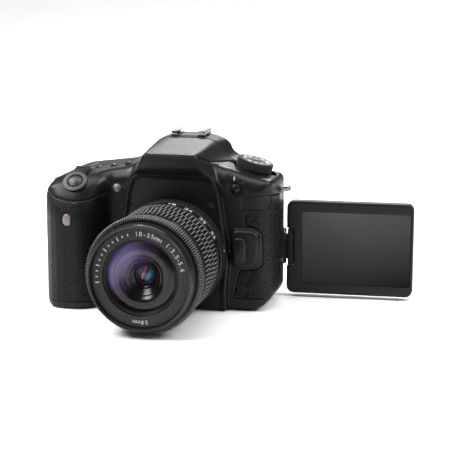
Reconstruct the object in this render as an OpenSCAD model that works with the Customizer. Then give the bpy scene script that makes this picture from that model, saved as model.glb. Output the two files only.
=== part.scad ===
// Digital single-lens reflex camera with an 18-55 mm class zoom lens.
// +X is to the right as the camera is seen from its front, -Y is where the lens looks, +Z is up.
// The origin is the mouth of the tripod socket, under the lens axis.

/* [Body] */
// Overall width of the body
body_w = 140.7; // [138:0.1:144]
// Height from the base to the top of the accessory shoe
body_h = 104.8; // [104:0.1:106]
// Depth from the front of the grip to the back of the eyecup
body_d = 76.8; // [75:0.1:79]
// Height of the lens axis above the base
axis_z = 35; // [34.8:0.1:36]
// Thickness of the moulded shells
wall = 2; // [1.8:0.1:2.4]

/* [Lens] */
// Largest diameter of the lens, at its focus ring
lens_d = 69; // [66:0.5:69]
// Length of the lens from its mounting face to its front rim, as stored
lens_l = 70.4; // [70:0.1:74]
// Inner diameter of the filter thread
filter_d = 58; // [55:0.5:58]
// How far the inner barrel slides out when the lens zooms
zoom_travel = 15; // [10:1:15]

/* [Screen] */
// Width of the folding screen
screen_w = 79.4; // [78:0.1:80]
// Height of the folding screen
screen_h = 59.2; // [58:0.1:59.4]
// Thickness of the folding screen
screen_t = 7.6; // [7.2:0.1:7.6]
// How far the screen has swung open, from closed
open_angle = 177.6; // [170:0.1:180]

/* [Hidden] */
$fn = 48;
gap = 0.2;                    // clearance round a part that moves
left = -78.5;                 // outer side of the grip
right = left + body_w;        // outer side of the hinge end
eyecup_back = 23.8;
grip_front = eyecup_back - body_d;
panel_front = -36.6;          // flat panel round the lens mount
flange = -38;                 // mounting face of the lens
back = 17.5;                  // rear face of the body
recess = 11;                  // floor of the screen's recess
split_y = -6;                 // where the front and rear shells meet
seam_z = 70;                  // where the shells meet the top cover
base_t = 2.5;                 // thickness of the base plate
skin = 0.9;                   // thickness of the rubber skins
lens_r = lens_d / 2;
filter_r = filter_d / 2;

// The folding screen's vertical hinge pin
pin_x = 57.5;
pin_y = 15.1;
screen_z = 31.8;              // middle of the screen's height
inner_edge = 3.7;             // from the pin to the screen's inner edge
arm_half = 11.2;              // half of the hinge arm's height
notch_half = 12.1;

// ---- Outlines ----

function unit(v) = v / norm(v);
// The points of an arc of radius r that rounds the corner b between a and c.
function corner(a, b, c, r, n) =
    let (u = unit(a - b), v = unit(c - b), half = acos(u * v) / 2)
    let (middle = b + unit(u + v) * r / sin(half), start = b + u * r / tan(half), end = b + v * r / tan(half))
    let (from = atan2(start.y - middle.y, start.x - middle.x), to = atan2(end.y - middle.y, end.x - middle.x))
    let (turn = (to - from + 540) % 360 - 180)
    [for (i = [0 : n]) middle + r * [cos(from + turn * i / n), sin(from + turn * i / n)]];
// A closed outline through corners [x, y, radius].
function rounded(p, n = 4) =
    let (m = len(p))
    [for (i = [0 : m - 1])
        let (a = p[(i + m - 1) % m], b = p[i], c = p[(i + 1) % m])
        each corner([a.x, a.y], [b.x, b.y], [c.x, c.y], b[2], n)];
// Corners [x, y, radius, way in along x, way in along y], moved in by i.
function inset(p, i) = [for (c = p) [c.x + c[3] * i, c.y + c[4] * i, max(c[2] - i, 0.4)]];
function rounded_box(w, h, r, n = 4) =
    rounded([[-w / 2, -h / 2, r], [w / 2, -h / 2, r], [w / 2, h / 2, r], [-w / 2, h / 2, r]], n);

// The body from above.
plan = [
    [left, back, 9, 1, -1], [left, grip_front, 13, 1, 1], [-50, grip_front, 13, -1, 1],
    [-40, -35.4, 6, -1, 1], [-35.5, panel_front, 1.5, 0, 1], [36.5, panel_front, 1.5, -1, 1],
    [39, -32, 2, 0, 1], [58, -32, 8, 0, 1], [right, -14, 9, -1, 0], [right - 0.9, 3, 4, -1, 0],
    [57.4, 10.8, 0.6, -1, -1], [50, 10.9, 1, 0, -1], [49, back, 1.5, 0, -1]];
// The body from the front, without the viewfinder hump.
front = [
    [left, 0, 8, 1, 1], [right, 0, 13, -1, 1], [right, 75, 4, -1, -1], [60, 80, 3, -1, -1],
    [46, 83, 6, 0, -1], [33, 87, 4, -1, -1], [-30, 85.5, 6, 1, -1], [-66, 80.8, 12, 0, -1],
    [left, 77.5, 10, 1, -1]];

module along_y(y0, y1) {
    translate([0, y1, 0]) rotate([90, 0, 0]) linear_extrude(y1 - y0) children();
}
module along_x(x0, x1) {
    translate([x0, 0, 0]) rotate([90, 0, 90]) linear_extrude(x1 - x0) children();
}
module along_z(z0, z1) {
    translate([0, 0, z0]) linear_extrude(z1 - z0) children();
}
module block(low, high) {
    translate(low) cube(high - low);
}
// A ring round the lens axis, from y0 forward to y1.
module lens_ring(r_out, r_in, y0, y1) {
    translate([0, y0, axis_z]) rotate([90, 0, 0]) difference() {
        cylinder(r = r_out, h = y0 - y1, $fn = 96);
        translate([0, 0, -1]) cylinder(r = r_in, h = y0 - y1 + 2, $fn = 96);
    }
}
// A ring round the lens axis from corners [radius, distance in front of the mounting face].
module lens_turned(p) {
    translate([0, flange, axis_z]) rotate([90, 0, 0]) rotate_extrude($fn = 96) polygon(p);
}

// The slope on top of the grip that carries the shutter button.
slope = 42;
module slope_cut(i) {
    translate([-100, grip_front + i, 66 - i * 0.4]) rotate([90 - slope, 0, 0])
        cube([64, 60, 60]);
}
// The outside of the body, moved in by i.
module outer(i) {
    difference() {
        intersection() {
            along_z(i, 90) polygon(rounded(inset(plan, i)));
            along_y(-60, 30) polygon(rounded(inset(front, i)));
        }
        slope_cut(i);
    }
}
// Left of x1, in front of y1 and between two heights.
module window(x0, x1, y0, y1, z0, z1) {
    intersection() {
        children();
        block([x0, y0, z0], [x1, y1, z1]);
    }
}

// ---- The viewfinder hump ----

// Rings of corners from the front of the hump to its back.
hump_rings = [
    [[22, -36, 76]],
    [[21, -42.2, 85], [15.4, -43.5, 96]],
    [[26, -16, 84], [22.5, -16, 96.5], [14.5, -16, 100.6]],
    [[29, 3, 84], [23, 3, 96.5], [14.5, 3, 101.4]],
    [[26, back - 0.4, 76], [22, back - 0.4, 93], [13, back - 0.4, 99]]];
function inward(p, i) =
    [p.x - i, p.y + (p.y < -30 ? 1.5 * i : 0) - (p.y > 10 ? i : 0), p.z - (p.z > 80 ? i : 0)];
module hump(i) {
    hull() for (ring = hump_rings, p = ring, s = [0, 1]) mirror([s, 0, 0]) translate(inward(p, i))
        cube(0.02, center = true);
}
// The top of the hump reaches back over the eyepiece.
module overhang() {
    corners = [[14, 2, 101.4], [22, 2, 94], [13.5, 19.8, 101.3], [15.5, 19.8, 99], [15.5, 19.8, 94]];
    hull() for (p = corners, s = [0, 1]) mirror([s, 0, 0]) translate(p) cube(0.02, center = true);
}
// The flash head lifts out of this bay; its sides reach lower than its middle.
flash_back = -0.6;
flash_hinge = [-2.4, 99.4];
module flash_bay(i) {
    block([-40, -60, 95.6 + i], [40, flash_back - i, 110]);
    for (s = [0, 1]) mirror([s, 0, 0]) block([16.6 + i, -60, 90.5 + i], [40, flash_back - i, 110]);
}

// ---- Controls ----

// Each control: [name, [x, y, z] of its cap's top, tilt about X, tilt about Y, radius, length]
controls = [
    ["shutter_button", [-59, -44.3, 79.3], 42, 0, 4.2, 4],
    ["af_button", [-71, -15, 78.4], 0, -10, 2.2, 5],
    ["drive_button", [-62.5, -15, 80.4], 0, -10, 2.2, 5],
    ["iso_button", [-53, -15, 82.2], 0, -9, 2.2, 5],
    ["metering_button", [-43.5, -15, 83.8], 0, -9, 2.2, 5],
    ["light_button", [-34, -15, 85.5], 0, -9, 2.2, 5],
    ["flash_button", [38.3, -34, 75.5], 90, 0, 2.9, 6],
    ["preview_button", [-33.5, -37.6, 8.5], 90, 0, 2.9, 6],
    ["menu_button", [45, back + 1, 74], -90, 0, 3.2, 5],
    ["info_button", [35, back + 1, 74], -90, 0, 3.2, 5],
    ["start_button", [-33, back + 2.2, 74.5], -90, 0, 3.2, 6.2],
    ["af_on_button", [-47, back + 1, 75], -90, 0, 3.4, 5],
    ["exposure_lock_button", [-58, back + 1, 74], -90, 0, 2.8, 5],
    ["af_point_button", [-67.5, back + 1, 73.4], -90, 0, 2.8, 5],
    ["quick_button", [-33, back + 1, 56], -90, 0, 3, 5],
    ["playback_button", [-34, back + 1, 17], -90, 0, 3, 5],
    ["erase_button", [-45, back + 1, 9.5], -90, 0, 3, 5]];
function control(name) = controls[search([name], controls)[0]];
module placed(c) {
    translate(c[1]) rotate([c[2], c[3], 0]) children();
}
// The cap of a control, with a domed rim.
module cap(name, tone) {
    c = control(name);
    color(tone) placed(c) union() {
        translate([0, 0, -c[5]]) cylinder(r = c[4], h = c[5] - 0.5);
        translate([0, 0, -0.5]) cylinder(r1 = c[4], r2 = c[4] - 0.6, h = 0.5);
    }
}
// The holes that the caps of some controls pass through.
module holes(names) {
    for (name = names) {
        c = control(name);
        placed(c) translate([0, 0, -c[5] - 4]) cylinder(r = c[4] + gap, h = c[5] + 8);
    }
}
top_caps = ["shutter_button", "af_button", "drive_button", "iso_button", "metering_button", "light_button",
    "flash_button", "menu_button", "info_button", "start_button", "af_on_button", "exposure_lock_button",
    "af_point_button"];
rear_caps = ["quick_button", "playback_button", "erase_button"];

// ---- Dials ----

main_dial_at = [-59, -28.5, 77];
main_dial_r = 8.2;
main_dial_w = 9;
mode_dial_at = [43.8, -7, 83];
mode_dial_tilt = 15;
post_r = 3.8;                 // the post that the mode dial and the power switch turn on
quick_dial_at = [-51, back + 0.2, 34];
quick_dial_r = 16.5;
module at_mode_dial() {
    translate(mode_dial_at) rotate([0, mode_dial_tilt, 0]) children();
}

module main_dial() {
    color("dimgray") translate(main_dial_at) rotate([0, 90, 0]) difference() {
        cylinder(r = main_dial_r, h = main_dial_w, center = true);
        cylinder(r = 1.55, h = main_dial_w + 2, center = true);
    }
}
module mode_dial() {
    color("dimgray") at_mode_dial() difference() {
        translate([0, 0, 1.2]) cylinder(r = 11.3, h = 5.6);
        translate([0, 0, 1]) cylinder(r = post_r + 0.05, h = 2);
        cylinder(r = 2.6, h = 10);
    }
}
module mode_dial_lock() {
    color("black") at_mode_dial() translate([0, 0, 4.2]) cylinder(r = 2.4, h = 3.2);
}
module power_switch() {
    color("dimgray") at_mode_dial() difference() {
        union() {
            translate([0, 0, -1.4]) cylinder(r = 10.4, h = 2.3);
            rotate([0, 0, 75]) translate([9, -2.2, -1.4]) cube([5.2, 4.4, 2.3]);
        }
        translate([0, 0, -3]) cylinder(r = post_r + 0.05, h = 6);
    }
}
module quick_dial() {
    color("dimgray") translate(quick_dial_at) rotate([-90, 0, 0]) difference() {
        cylinder(r = quick_dial_r, h = 2);
        translate([0, 0, -1]) cylinder(r = 8.2, h = 4);
    }
}
module set_button() {
    color("black") translate(quick_dial_at) rotate([-90, 0, 0]) translate([0, 0, -4])
        cylinder(r = 7.6, h = 6.4);
}
stick_at = [-44.5, back - 5.5, 60.5];
module multi_controller() {
    color("black") translate(stick_at) rotate([-90, 0, 0]) union() {
        cylinder(r = 1.5, h = 7);
        translate([0, 0, 1.5]) sphere(r = 2.3);
        translate([0, 0, 6.2]) cylinder(r1 = 3, r2 = 3.8, h = 1);
        translate([0, 0, 7.2]) cylinder(r1 = 3.8, r2 = 3, h = 0.8);
    }
}
module live_view_switch() {
    c = control("start_button");
    color("dimgray") translate([c[1].x, back + 0.2, c[1].z]) rotate([-90, 0, 0]) difference() {
        union() {
            cylinder(r = 6.4, h = 1.4);
            translate([-1.4, 5, 0]) cube([2.8, 3.6, 1.4]);
        }
        translate([0, 0, -1]) cylinder(r = control("start_button")[4] + 0.3, h = 4);
    }
}

// ---- Shells ----

module front_shell() {
    color([0.07, 0.07, 0.075]) difference() {
        union() {
            window(-37.3, 70, -60, split_y, base_t, seam_z) outer(0);
            window(-90, -37, -60, split_y, base_t, 5.9) outer(0);
            window(-90, -37, -60, split_y, 66.1, seam_z) outer(0);
            window(-90, -37, -60, split_y, 5.8, 66.2) outer(skin + 0.05);
            release_bulge();
        }
        outer(wall + skin);
        translate([0, 0, -1]) outer(wall + skin);
        // The hole for the lens mount, and the release button's slot.
        lens_ring(30, 0, flange + 12, flange - 2);
        along_y(-50, -20) polygon(release_outline(gap));
        holes(["preview_button"]);
        // The flap over the sockets and the rubber in front of it lie in the hinge end.
        side_recess();
        difference() {
            along_y(-60, -24.1) polygon(side_grip_outline);
            outer(skin + 0.05);
        }
    }
}
function release_outline(grow) = [for (p = rounded([[38.6, 31, 2.5], [46.2, 31, 3.5], [46.2, 46.6, 3.5],
    [38.6, 46.6, 2.5]])) [p.x + sign(p.x - 42.4) * grow, p.y + sign(p.y - 38.8) * grow]];
module release_bulge() {
    along_y(-36.4, -31) polygon(rounded([[36.2, 28, 2], [52, 28, 5], [53.5, 50, 5], [36.2, 50, 2]]));
}
module lens_release() {
    color("black") along_y(-39.4, -32) polygon(release_outline(0));
}
// The hollow in the hinge end where the flap over the sockets lies.
module side_recess() {
    difference() {
        block([right - 8, -24, 12], [right + 2, 1, 62]);
        outer(1.4);
    }
}
module terminal_cover() {
    color([0.05, 0.05, 0.05]) difference() {
        window(right - 8, right, -23.7, 0.7, 12.3, 61.7) outer(0);
        outer(1.2);
    }
}
module rear_shell() {
    color([0.07, 0.07, 0.075]) difference() {
        union() {
            window(-90, 70, split_y + 0.1, 30, base_t, seam_z) outer(0);
            ears();
        }
        difference() {
            outer(wall);
            block([-28.5, recess - 2, 0], [70, 30, 66]);
        }
        // The screen's recess, and the joystick's hole.
        block([-26.6, recess, 1.8], [57, 30, 62.4]);
        translate([stick_at.x, back, stick_at.z]) rotate([90, 0, 0]) cylinder(r = 3, h = 8, center = true);
        translate([quick_dial_at.x, quick_dial_at.y, quick_dial_at.z]) rotate([90, 0, 0])
            cylinder(r = 7.8, h = 8, center = true);
        translate([quick_dial_at.x, back - 0.6, quick_dial_at.z]) rotate([-90, 0, 0])
            cylinder(r = quick_dial_r + 0.4, h = 4);
        holes(rear_caps);
        thumb_area();
        side_recess();
        door_recess();
        for (s = [-1, 1]) translate([pin_x, pin_y, screen_z + s * 9.8])
            cylinder(r = 1.3, h = 4, center = true);
    }
}
// Two ears carry the folding screen's vertical pin.
module ears() {
    for (s = [-1, 1]) translate([pin_x, pin_y, screen_z + s * 9.8 - 1.4]) {
        cylinder(r = 3.3, h = 2.8);
        translate([-3.2, -5.6, 0]) cube([5.6, 5.6, 2.8]);
    }
}
module thumb_area() {
    block([-75, back - 0.8, 50], [-60, back + 2, 68]);
}
module thumb_rest() {
    color([0.05, 0.05, 0.05]) along_x(-74.8, -60.2) polygon(rounded([[back - 0.8, 50.2, 0.2],
        [back + 0.2, 50.2, 0.2], [back + 2.4, 53, 3], [back + 2.4, 65, 3], [back + 0.2, 67.8, 0.2],
        [back - 0.8, 67.8, 0.2]]));
}
module door_recess() {
    block([left - 1, -4.6, 12], [left + 1.4, 7.9, 60]);
}
module card_door() {
    color([0.07, 0.07, 0.075]) {
        block([left, -3.55, 12.3], [left + 1.3, 7.6, 59.7]);
        translate([left + 0.65, -3.55, 0]) along_z(12.3, 59.7) circle(r = 0.65);
    }
}
module base_plate() {
    color([0.06, 0.06, 0.065]) difference() {
        window(-90, 70, -60, back, 0, base_t - 0.1) outer(0);
        translate([0, 0, -1]) cylinder(r = 7, h = 5);
        block([-75, -47, -1], [-52.5, -6, 4]);
        // The folding screen's recess is open below.
        block([-26.6, recess, -1], [70, 30, 4]);
    }
}
module battery_door() {
    color([0.06, 0.06, 0.065]) {
        block([-74.7, -46.7, 0.2], [-53.9, -6.3, 2.2]);
        translate([-53.9, 0, 1.2]) along_y(-46.7, -6.3) circle(r = 1);
    }
}
module tripod_socket() {
    color("silver") difference() {
        cylinder(r = 6.9, h = 7);
        translate([0, 0, -1]) cylinder(r = 3.175, h = 7);
    }
}
// The rubber beside the lens, round the release button's bulge.
side_grip_outline = [[44, 61.5], [45.3, 52.4], [54.4, 51.6], [54.8, 27], [41, 25.3], [37.2, 8], [70, 8],
    [70, 61.5]];
module front_grip() {
    color([0.05, 0.05, 0.05]) difference() {
        window(-90, -37.5, -60, split_y - 0.2, 6, 66) outer(0);
        outer(skin);
    }
}
module side_grip() {
    color([0.05, 0.05, 0.05]) difference() {
        intersection() {
            outer(0);
            along_y(-60, -24.2) polygon(side_grip_outline);
        }
        outer(skin);
    }
}

module top_cover() {
    color([0.07, 0.07, 0.075]) {
        difference() {
            union() {
                window(-90, 70, -60, back, seam_z + 0.1, 90) outer(0);
                hump(0);
                overhang();
            }
            outer(wall);
            hump_hollow();
            flash_bay(0);
            shoe_seat();
            holes(top_caps);
            // The main dial stands in a slot.
            translate(main_dial_at) rotate([0, 90, 0])
                cylinder(r = main_dial_r + 0.5, h = main_dial_w + 0.8, center = true);
            // The mode dial and its switch stand in a sloping well.
            at_mode_dial() translate([0, 0, -1.8]) cylinder(r = 14.6, h = 20);
            // The viewfinder's window and the knob beside it.
            along_y(0, 25) polygon([[-9.5, 72.5], [9.5, 72.5], [9.5, 86.5], [-9.5, 86.5]]);
            translate([23.5, back - 1, 86]) rotate([90, 0, 0]) cylinder(r = 3.2, h = 10, center = true);
        }
        // The floor of the mode dial's well, and its post.
        intersection() {
            outer(0.5);
            at_mode_dial() translate([0, 0, -3.9]) difference() {
                cylinder(r = 15.6, h = 6);
                translate([0, 0, 2.1]) cylinder(r = 14.6, h = 10);
            }
        }
        at_mode_dial() translate([0, 0, -2]) cylinder(r = post_r, h = 4.8);
    }
}
module hump_hollow() {
    intersection() {
        hump(2.2);
        union() {
            block([-14.4, -60, 60], [14.4, 14, 93.4]);
            block([-60, -60, 60], [60, 1.7, 88.3]);
            block([-60, 1.6, 60], [60, back - 3, 97]);
        }
    }
}
module shoe_seat() {
    block([-11.1, shoe_front - 0.1, shoe_floor - 0.6], [11.1, 25, body_h + 5]);
}
module diopter_knob() {
    color("black") translate([23.5, back + 2.2, 86]) rotate([90, 0, 0]) union() {
        cylinder(r = 3.9, h = 2.2);
        cylinder(r = 3, h = 7);
    }
}
module eyecup() {
    color([0.04, 0.04, 0.04]) translate([0, 0, 80]) difference() {
        union() {
            along_y(back, back + 1.5) polygon(rounded_box(31, 22, 5));
            along_y(back + 1.4, eyecup_back) polygon(rounded_box(37, 25, 8));
        }
        along_y(0, 40) polygon(rounded_box(20, 14.6, 3));
        translate([0, eyecup_back - 3.5, 0]) along_y(0, 10) polygon(rounded_box(29, 19, 5));
    }
}

// ---- Metalwork ----

shoe_front = 1;
shoe_back = 19.6;
shoe_floor = 102;
module hot_shoe() {
    color("silver") difference() {
        block([-11, shoe_front, shoe_floor - 0.5], [11, shoe_back, body_h]);
        block([-9.4, shoe_front + 1, shoe_floor], [9.4, shoe_back + 1, shoe_floor + 2.05]);
        block([-6.3, shoe_front - 1, shoe_floor], [6.3, shoe_back + 1, body_h + 1]);
    }
}
module strap_lug() {
    along_z(-0.9, 0.9) difference() {
        polygon(rounded([[0, -4.6, 0.6], [5.6, -4.6, 2], [5.6, 4.6, 2], [0, 4.6, 0.6]]));
        polygon(rounded([[1.4, -3.1, 1], [4.2, -3.1, 1], [4.2, 3.1, 1], [1.4, 3.1, 1]]));
    }
}
module strap_lugs() {
    color("silver") {
        translate([right + 0.1, -8, 71.8]) rotate([0, -12, 0]) strap_lug();
        translate([left - 0.3, -8, 71.8]) rotate([0, 12, 0]) mirror([1, 0, 0]) strap_lug();
    }
}
module lens_mount() {
    color("silver") difference() {
        union() {
            lens_ring(33, 27, panel_front - 0.05, flange);
            lens_ring(29.8, 27, -31, panel_front);
        }
        // Four screw holes.
        for (a = [45 : 90 : 315]) translate([30.6 * cos(a), flange - 0.1, axis_z + 30.6 * sin(a)])
            rotate([-90, 0, 0]) cylinder(r = 1.1, h = 0.7);
    }
}

// ---- Inside the body ----

sensor_y = 6;
module mirror_box() {
    color([0.03, 0.03, 0.03]) difference() {
        block([-20, -30.6, 16], [20, -2, 54]);
        block([-17, -40, 19], [17, 0, 51]);
        block([-14, -27, 48], [14, -8, 56]);
    }
}
mirror_hinge = [-4, 46];
module main_mirror() {
    color("silver") translate([0, mirror_hinge.x, mirror_hinge.y]) rotate([45, 0, 0]) union() {
        block([-15, -25, -0.6], [15, -0.8, 0.6]);
        rotate([0, 90, 0]) cylinder(r = 0.9, h = 32, center = true);
    }
}
module viewfinder_optics() {
    color("lightcyan") {
        // The focusing screen, the prism over it, and the eyepiece lens.
        block([-13.5, -26.5, 51.8], [13.5, -8.5, 53.2]);
        along_x(-14, 14) polygon([[-28, 56], [-7, 56], [-3, 71], [-6, 87], [-20, 90.5], [-33, 76]]);
        translate([0, 0, 80]) along_y(3, 7) polygon(rounded_box(18, 13, 2));
    }
}
module shutter_unit() {
    color([0.1, 0.1, 0.1]) difference() {
        block([-24, -1.6, 17], [24, 2.6, 53]);
        block([-12.2, -3, axis_z - 8.6], [12.2, 4, axis_z + 8.6]);
    }
}
module image_sensor() {
    color([0.15, 0.35, 0.2]) {
        block([-14, 3.2, axis_z - 11], [14, sensor_y, axis_z + 11]);
        block([-22, sensor_y + 0.2, 14], [24, sensor_y + 1.4, 58]);
    }
}
module battery() {
    color([0.12, 0.12, 0.13]) along_z(5.5, 60) polygon([for (p = rounded_box(20.6, 38.4, 2)) p + [-63.8, -25.4]]);
}

// ---- Flash ----

module flash_head() {
    color([0.08, 0.08, 0.085]) difference() {
        intersection() {
            hump(0);
            flash_bay(0.3);
            // Its top edge is rounded where it turns past the shoe.
            union() {
                block([-40, -60, 85], [40, flash_hinge.x, 110]);
                for (s = [0, 1]) mirror([s, 0, 0]) block([16.9, -10, 85], [40, 0, flash_hinge.y]);
                translate([0, flash_hinge.x, flash_hinge.y]) rotate([0, 90, 0])
                    cylinder(r = 1.5, h = 60, center = true);
            }
        }
        block([-12.5, -34, 95], [12.5, -20, 97.7]);
    }
}
module flash_lens() {
    color("white") block([-12.3, -33.8, 96.1], [12.3, -20.2, 97.5]);
}

// ---- The folding screen ----

// The screen's own frame: x from the pin towards the far edge, y through its thickness, z up from its middle.
module at_screen() {
    translate([pin_x, pin_y, screen_z]) rotate([0, 0, 180 - open_angle]) children();
}
module screen_arm() {
    color([0.06, 0.06, 0.06]) at_screen() {
        union() {
            translate([0, 0, -8.2]) cylinder(r = 3.3, h = 16.4);
            translate([0, 0, -10.8]) cylinder(r = 1.25, h = 21.6);
            block([0, -2.9, -8.2], [5, 2.9, 8.2]);
            block([4.2, -3.2, -arm_half], [7.8, 3.2, arm_half]);
            translate([7, 0, 0]) rotate([0, 90, 0]) cylinder(r = 2, h = 12);
        }
    }
}
module screen_housing() {
    color([0.06, 0.06, 0.065]) at_screen() difference() {
        translate([inner_edge + screen_w / 2, 0, 0]) along_y(-screen_t / 2, screen_t / 2)
            polygon(rounded_box(screen_w, screen_h, 4.5));
        block([0, -6, -notch_half], [8.1, 6, notch_half]);
        translate([6, 0, 0]) rotate([0, 90, 0]) cylinder(r = 2.05, h = 14);
        translate([glass_mid, -screen_t / 2 - 1, 0]) along_y(0, 1.9) polygon(rounded_box(glass_w, glass_h, 2));
    }
}
glass_w = 68.6;
glass_h = 46.4;
glass_mid = inner_edge + 43.6;
module screen_glass() {
    color([0.12, 0.13, 0.14]) at_screen() translate([glass_mid, -screen_t / 2 + 0.05, 0]) along_y(0, 0.8)
        polygon(rounded_box(glass_w - 0.2, glass_h - 0.2, 2));
}

// ---- The lens ----

// Distances in front of the mounting face.
zoom_from = 13.2;
zoom_to = 48.8;
focus_from = 54.9;
focus_to = 61.8;
module lens_barrel() {
    color([0.07, 0.07, 0.075]) difference() {
        // The base, the tube that both rings turn on, and the band between them.
        lens_turned([[24.5, -4.5], [26.7, -4.5], [26.7, 0], [31.6, 0], [34.2, 1.2], [34.2, 12.9], [30, 12.9],
            [30, 49.1], [33.4, 49.1], [33.4, 54.6], [32.5, 54.6], [32.5, 61.6], [31.8, 61.6], [31.8, 50],
            [28.6, 50], [28.6, 10], [24.5, 10]]);
        switch_window(5.2);
        switch_window(-6.2);
    }
}
// A window in the side of the lens base, at height dz over the axis.
module switch_window(dz) {
    translate([29, flange - 9.6, axis_z + dz - 3.6]) cube([8, 4.4, 7.2]);
}
// Its switch, at the upper end of the window.
module lens_switch(dz) {
    color("black") translate([29.4, flange - 9.4, axis_z + dz + 0.2]) cube([5.1, 4, 3.2]);
}
module zoom_ring() {
    color([0.05, 0.05, 0.05]) lens_turned([[30.2, zoom_from], [33.8, zoom_from], [33.8, 19], [33.2, 21],
        [33.2, 46], [32.6, zoom_to], [30.2, zoom_to]]);
}
module focus_ring() {
    color([0.05, 0.05, 0.05]) lens_turned([[32.7, focus_from], [lens_r, focus_from], [lens_r, focus_to],
        [32.7, focus_to]]);
}
module inner_barrel() {
    tail = 39 - zoom_travel;
    color([0.08, 0.08, 0.085]) lens_turned([[26.4, tail], [28.3, tail], [28.3, 50.6], [31.5, 50.6],
        [31.5, lens_l - 5.4], [30.2, lens_l], [filter_r, lens_l], [filter_r, lens_l - 3], [22.3, lens_l - 3],
        [18.6, lens_l - 7.8], [18.6, lens_l - 9.4], [20.8, lens_l - 9.4], [20.8, 53], [19, 53], [19, 51.5],
        [26.4, 51.5]]);
}
module front_element() {
    color([0.2, 0.2, 0.35]) lens_turned([[0, 54], [20.6, 54], [20.6, 60.7], [18.4, 60.7], [18, 61.4],
        [12, 63.2], [6, 64.2], [0, 64.5]]);
}

front_shell();
rear_shell();
top_cover();
base_plate();
tripod_socket();
front_grip();
thumb_rest();
side_grip();
eyecup();
hot_shoe();
strap_lugs();
lens_mount();
mirror_box();
viewfinder_optics();
shutter_unit();
image_sensor();
battery();
main_mirror();
flash_head();
flash_lens();
mode_dial();
mode_dial_lock();
power_switch();
main_dial();
for (c = controls) cap(c[0], "black");
lens_release();
multi_controller();
live_view_switch();
quick_dial();
set_button();
diopter_knob();
battery_door();
card_door();
terminal_cover();
screen_arm();
screen_housing();
screen_glass();
lens_barrel();
zoom_ring();
focus_ring();
inner_barrel();
front_element();
lens_switch(5.2);  // focus_mode_switch
lens_switch(-6.2);  // stabilizer_switch
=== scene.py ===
import math
from functools import reduce
import bpy
import numpy as np
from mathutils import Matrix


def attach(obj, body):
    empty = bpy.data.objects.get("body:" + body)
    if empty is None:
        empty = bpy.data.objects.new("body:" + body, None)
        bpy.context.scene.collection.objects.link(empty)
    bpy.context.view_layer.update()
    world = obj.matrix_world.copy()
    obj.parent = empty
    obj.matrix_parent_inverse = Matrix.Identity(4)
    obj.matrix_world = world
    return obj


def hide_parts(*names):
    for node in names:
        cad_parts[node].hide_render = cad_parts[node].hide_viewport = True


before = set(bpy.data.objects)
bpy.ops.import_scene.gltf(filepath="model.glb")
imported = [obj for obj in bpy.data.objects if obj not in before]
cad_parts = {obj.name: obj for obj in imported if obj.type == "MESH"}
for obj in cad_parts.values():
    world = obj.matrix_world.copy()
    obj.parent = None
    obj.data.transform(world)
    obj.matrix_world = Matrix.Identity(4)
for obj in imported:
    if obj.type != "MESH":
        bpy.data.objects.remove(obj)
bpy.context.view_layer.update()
import openvdb
from mathutils import Matrix, Vector

MM = 0.001
BODY = "camera_body"
ROOT = bpy.context.scene.collection
RIGHTWARD, FORWARD, REARWARD, UP = (1, 0, 0), (0, -1, 0), (0, 1, 0), (0, 0, 1)

# Places and measures of the CAD, in millimetres.
FLANGE, AXIS_Z = -38.0, 35.0
LEFT, RIGHT, BACK = -78.5, 62.2, 17.5
SHUTTER_AT = (-59, -44.3, 79.3)
FLASH_BUTTON_AT = (38.3, -34, 75.5)
MAIN_DIAL_AT = (-59, -28.5, 77)
DIOPTER_AT = (23.5, BACK, 86)
QUICK_X, QUICK_Z = -51, 34
STICK_X, STICK_Z = -44.5, 60.5
SENSOR_X, SENSOR_Z = -61.7, 55.5
SCREW_X, SCREW_Z = 24.6, 65.7
PIN = (57.5, 15.1, 31.8)
SCREEN_SWING = 177.6
RIB_START, RIB_END, RIB_ROW, RIB_COUNT = 20.5, 46.6, 8.7, 80
FOCUS_RIBS = 150
DIAL_KNURLS = 60
NAME_RADIUS, NAME_DEPTH = 25.6, 67.5


# ---------- Camera and lights ----------

def aim(obj, place, back):
    """Puts obj at place, with its back to the direction back."""
    z = Vector(back).normalized()
    x = Vector(UP).cross(z).normalized()
    y = z.cross(x)
    turn = Matrix((x, y, z)).transposed().to_4x4()
    obj.matrix_world = Matrix.Translation(place) @ turn


def put(name, data):
    obj = bpy.data.objects.new(name, data)
    ROOT.objects.link(obj)
    return obj


eye = bpy.data.cameras.new("camera")
eye.lens = 116.72
eye.sensor_width = 36
eye.shift_x = 0.0224
eye.shift_y = -0.003
eye.clip_end = 20
camera = put("camera", eye)
aim(camera, (0.23677, -0.89125, 0.23145), (0.23065, -0.95217, 0.20043))
bpy.context.scene.camera = camera
bpy.context.scene.view_settings.view_transform = "Standard"


def softbox(name, place, target, size, power):
    lamp = bpy.data.lights.new(name, "AREA")
    lamp.shape = "RECTANGLE"
    lamp.size, lamp.size_y = size
    lamp.energy = power
    aim(put(name, lamp), place, Vector(place) - Vector(target))


softbox("key", (-0.6, -0.5, 0.85), (0, -0.03, 0.05), (0.42, 0.42), 9)
softbox("top", (0.0, -0.1, 1.1), (0, -0.03, 0), (1.0, 0.5), 10)
softbox("roof", (-0.15, 1.25, 0.8), (0, 0, 0.09), (0.7, 0.22), 9)
softbox("side", (0.9, -0.6, 0.35), (0.05, -0.03, 0.05), (0.12, 0.7), 1.0)
softbox("floor_left", (-0.9, 0.1, 0.9), (-0.7, 0.9, 0), (0.9, 0.4), 22)
softbox("floor_right", (1.0, 0.1, 0.9), (0.8, 0.9, 0), (0.9, 0.4), 22)

world = bpy.data.worlds.new("studio")
bpy.context.scene.world = world
world.use_nodes = True
world.node_tree.nodes["Background"].inputs["Color"].default_value = (1, 1, 1, 1)
world.node_tree.nodes["Background"].inputs["Strength"].default_value = 0.075


# ---------- Materials ----------

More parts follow.
